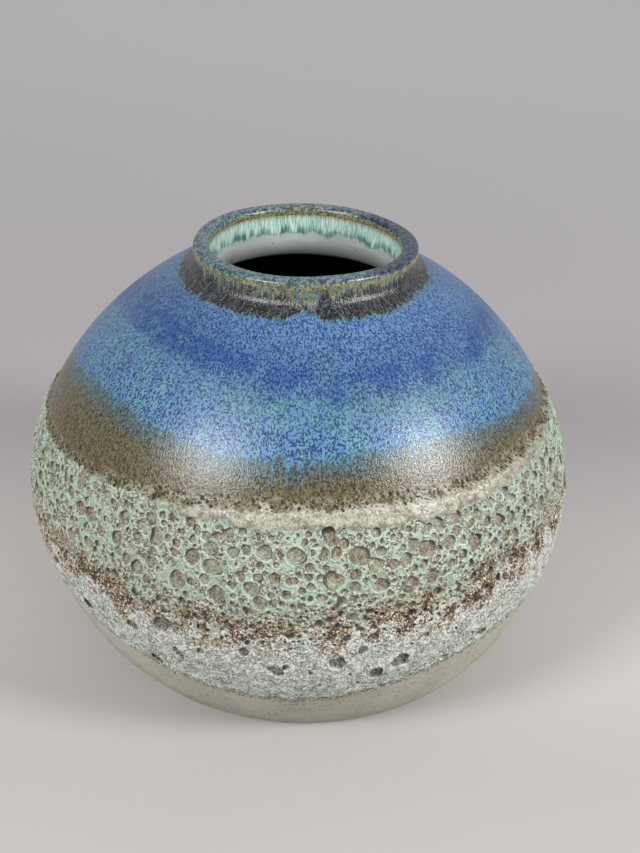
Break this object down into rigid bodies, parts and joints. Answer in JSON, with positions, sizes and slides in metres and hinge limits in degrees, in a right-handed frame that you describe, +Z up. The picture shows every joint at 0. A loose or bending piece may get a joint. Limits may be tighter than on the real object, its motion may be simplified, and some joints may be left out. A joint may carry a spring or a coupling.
{
  "type": "stoneware vase",
  "caption": "Squat globular stoneware vase with a short collared neck, blue and bronze glazes on the shoulder and a foamed volcanic glaze round the belly.",
  "frame": {"origin": "centre of the face that the foot ring rests on, on the axis of the vase", "axes": "+Z up along the axis of the vase towards the mouth; X and Y are level, and the pictured side faces -Y"},
  "size_m": [0.22, 0.22, 0.172],
  "materials": {
    "bare_clay": "matt bare stoneware with small iron specks",
    "liner_white": "satin white liner glaze",
    "drip_green": "glossy pale turquoise glaze that has run into darker green ends",
    "rim_blue": "satin steel blue, breaking to rust at both edges of the lip",
    "neck_dark": "olive and near-black metallic glaze, streaked downwards",
    "blue_crystal": "satin blue with fine pale crystals over cobalt patches",
    "bronze": "satin metallic bronze with fine downward streaks",
    "cream_edge": "thick cream glaze with pinholes",
    "turquoise_crater": "foamed pale turquoise volcanic glaze full of burst craters",
    "iron_crater": "foamed glaze speckled brown and rust by iron",
    "white_crater": "frothy grey-white volcanic glaze with a few large craters"
  },
  "bodies": {
    "root": {"clay_body": "bare_clay", "liner_glaze": "liner_white", "mouth_drip_glaze": "drip_green", "rim_glaze": "rim_blue", "neck_glaze": "neck_dark", "blue_crystal_glaze": "blue_crystal", "bronze_glaze": "bronze", "cream_edge_glaze": "cream_edge", "turquoise_crater_glaze": "turquoise_crater", "iron_crater_glaze": "iron_crater", "white_crater_glaze": "white_crater"}
  },
  "joints": []
}
